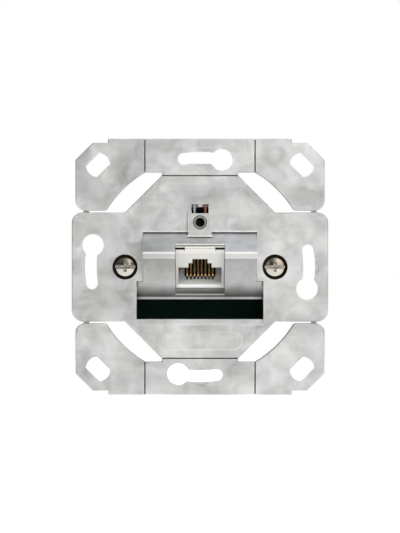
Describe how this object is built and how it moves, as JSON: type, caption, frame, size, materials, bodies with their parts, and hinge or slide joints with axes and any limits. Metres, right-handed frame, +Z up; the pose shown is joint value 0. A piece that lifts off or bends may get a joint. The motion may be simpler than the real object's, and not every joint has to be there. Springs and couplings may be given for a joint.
{
  "type": "ethernet socket insert",
  "caption": "Flush-mounted shielded data socket insert: cast support frame for a round wall box, slanted housing with one 8-position modular jack, terminals and cable clamp at the back.",
  "frame": {"origin": "centre of the support frame's rear face, which lies on the wall, on the axis of the 60 mm screw circle", "axes": "+X to the right and +Z up as seen from the room, -Y out of the wall towards the room; the jack looks down and into the room"},
  "size_m": [0.0702, 0.0362, 0.0702],
  "materials": {
    "zinc_casting": "mottled as-cast satin",
    "screw_steel": "polished",
    "white_plastic": "satin moulded",
    "dark_plastic": "satin moulded",
    "block_plastic": "satin moulded",
    "contact_gold": "polished",
    "tinned_bronze": "satin",
    "shield_sheet": "satin",
    "board_green": "solder mask"
  },
  "bodies": {
    "root": {"cable_clamp": "zinc_casting", "circuit_board": "board_green", "clamp_screw_left": "screw_steel", "clamp_screw_right": "screw_steel", "contact_comb": "dark_plastic", "contact_wire_1": "contact_gold", "contact_wire_2": "contact_gold", "contact_wire_3": "contact_gold", "contact_wire_4": "contact_gold", "contact_wire_5": "contact_gold", "contact_wire_6": "contact_gold", "contact_wire_7": "contact_gold", "contact_wire_8": "contact_gold", "cover_screw_left": "screw_steel", "cover_screw_right": "screw_steel", "earth_clip": "shield_sheet", "frame_screw_left": "screw_steel", "frame_screw_right": "screw_steel", "front_shell": "zinc_casting", "jack_housing": "white_plastic", "jack_shield": "shield_sheet", "rear_cover": "zinc_casting", "support_frame": "zinc_casting", "terminal_1": "tinned_bronze", "terminal_2": "tinned_bronze", "terminal_3": "tinned_bronze", "terminal_4": "tinned_bronze", "terminal_5": "tinned_bronze", "terminal_6": "tinned_bronze", "terminal_7": "tinned_bronze", "terminal_8": "tinned_bronze", "terminal_block_left": "block_plastic", "terminal_block_right": "block_plastic"}
  },
  "joints": []
}
